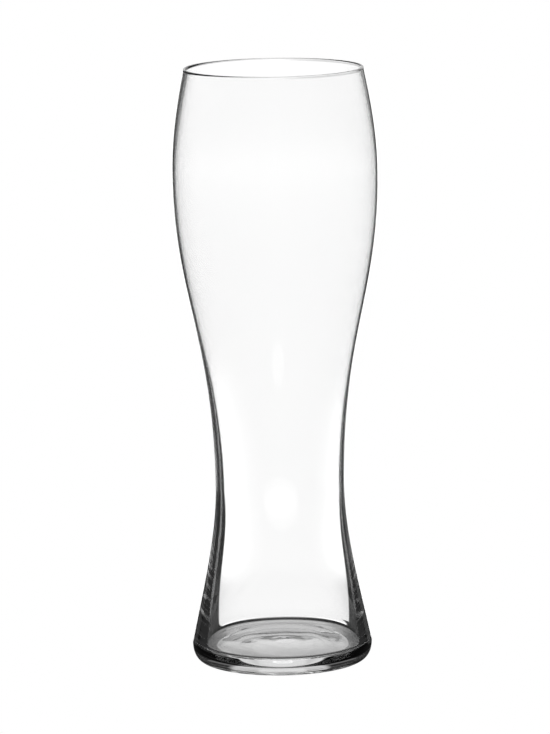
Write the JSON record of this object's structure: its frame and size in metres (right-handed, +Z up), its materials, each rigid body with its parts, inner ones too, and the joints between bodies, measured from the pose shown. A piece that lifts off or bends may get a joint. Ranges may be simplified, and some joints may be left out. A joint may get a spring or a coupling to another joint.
{
  "type": "wheat beer glass",
  "caption": "Tall slender clear wheat beer glass with a low waist, a wide bulge near the top, a slightly closed thin rim and a thick round foot that it stands on.",
  "frame": {"origin": "on the table, under the middle of the foot", "axes": "+Z up along the glass's axis of revolution; X and Y are free, because the glass is round"},
  "size_m": [0.082, 0.082, 0.24],
  "materials": {
    "glass": "clear, fire-polished"
  },
  "bodies": {
    "root": {"bowl": "glass", "foot": "glass"}
  },
  "joints": []
}
